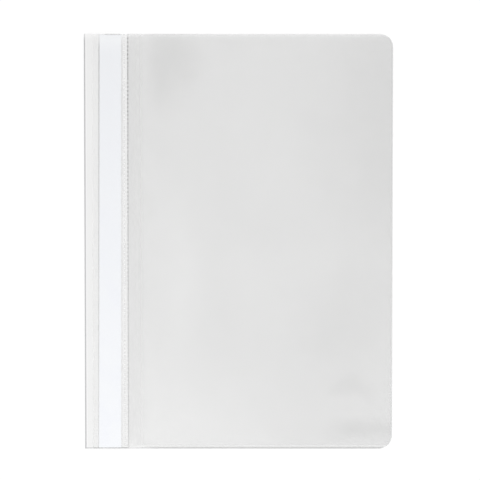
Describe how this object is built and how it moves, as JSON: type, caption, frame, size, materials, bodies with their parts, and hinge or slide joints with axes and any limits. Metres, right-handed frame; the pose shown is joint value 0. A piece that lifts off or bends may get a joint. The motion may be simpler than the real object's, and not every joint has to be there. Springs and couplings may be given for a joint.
{
  "type": "report file with clear front cover",
  "caption": "Closed report file of white film with a clear front cover, a paper label strip in a welded pocket beside the spine, and prongs with slide locks inside.",
  "frame": {"origin": "centre of the bounding box at its base, on the underside of the rear cover", "axes": "+X from the spine to the free edges, +Y up the spine, +Z out of the front cover; the file lies on its rear cover"},
  "size_m": [0.23, 0.31, 0.0041],
  "materials": {
    "white_film": "satin white film with a fine grain",
    "clear_film": "clear, faintly frosted film",
    "label_paper": "plain white paper",
    "prong_steel": "plated strip steel",
    "bar_plastic": "moulded white plastic"
  },
  "bodies": {
    "rear": {"rear_cover": "white_film", "filing_strip": "white_film", "metal_prongs": "prong_steel", "compressor_bar": "bar_plastic"},
    "label_flap": {"label_panel": "white_film", "label_window": "clear_film", "label_insert": "label_paper"},
    "cover": {"front_cover": "clear_film"},
    "upper_lock": {"upper_slide_lock": "bar_plastic"},
    "lower_lock": {"lower_slide_lock": "bar_plastic"}
  },
  "joints": [
    {"name": "label_flap_hinge", "type": "hinge", "parent": "rear", "child": "label_flap", "pos_m": [-0.1132, 0, 0.00365], "axis": [0, -1, 0], "range_deg": [0, 180]},
    {"name": "front_cover_hinge", "type": "hinge", "parent": "label_flap", "child": "cover", "pos_m": [-0.0825, 0, 0.00405], "axis": [0, -1, 0], "range_deg": [0, 180]},
    {"name": "upper_lock_slide", "type": "slide", "parent": "rear", "child": "upper_lock", "axis": [0, -1, 0], "range_m": [-0.008, 0.019]},
    {"name": "lower_lock_slide", "type": "slide", "parent": "rear", "child": "lower_lock", "axis": [0, 1, 0], "range_m": [-0.008, 0.019]}
  ]
}
